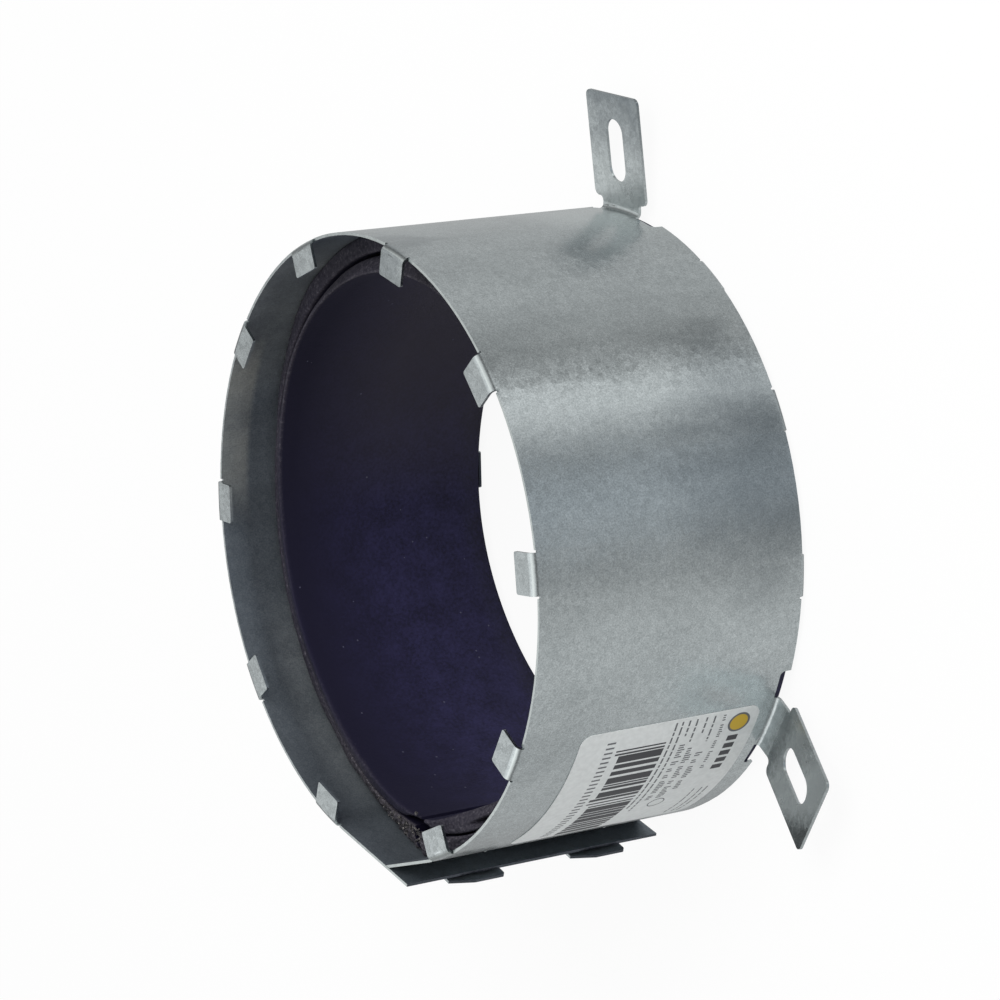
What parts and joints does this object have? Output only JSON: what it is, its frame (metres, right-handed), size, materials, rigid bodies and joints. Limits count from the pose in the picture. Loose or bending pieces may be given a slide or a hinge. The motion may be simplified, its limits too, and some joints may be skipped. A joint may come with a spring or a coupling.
{
  "type": "pipe fire collar",
  "caption": "Ring of folded galvanised sheet with a swelling liner that closes a plastic pipe in a fire, with inward tabs and slotted fixing lugs.",
  "frame": {"origin": "on the pipe's axis, in the plane of the back faces of the tabs at the fixing end", "axes": "+Z along the pipe's axis from the fixing end to the front rim; +Y towards the first fixing lug"},
  "size_m": [0.1667, 0.1595, 0.0642],
  "materials": {
    "galvanised_sheet": "hot-dip zinc, fine spangle, satin",
    "intumescent": "smooth dark sheet with crumbly cut edges",
    "label_paper": "coated paper, semi-matt"
  },
  "bodies": {
    "root": {"steel_band": "galvanised_sheet", "liner_outer_strip": "intumescent", "liner_inner_strip": "intumescent", "label": "label_paper"}
  },
  "joints": []
}
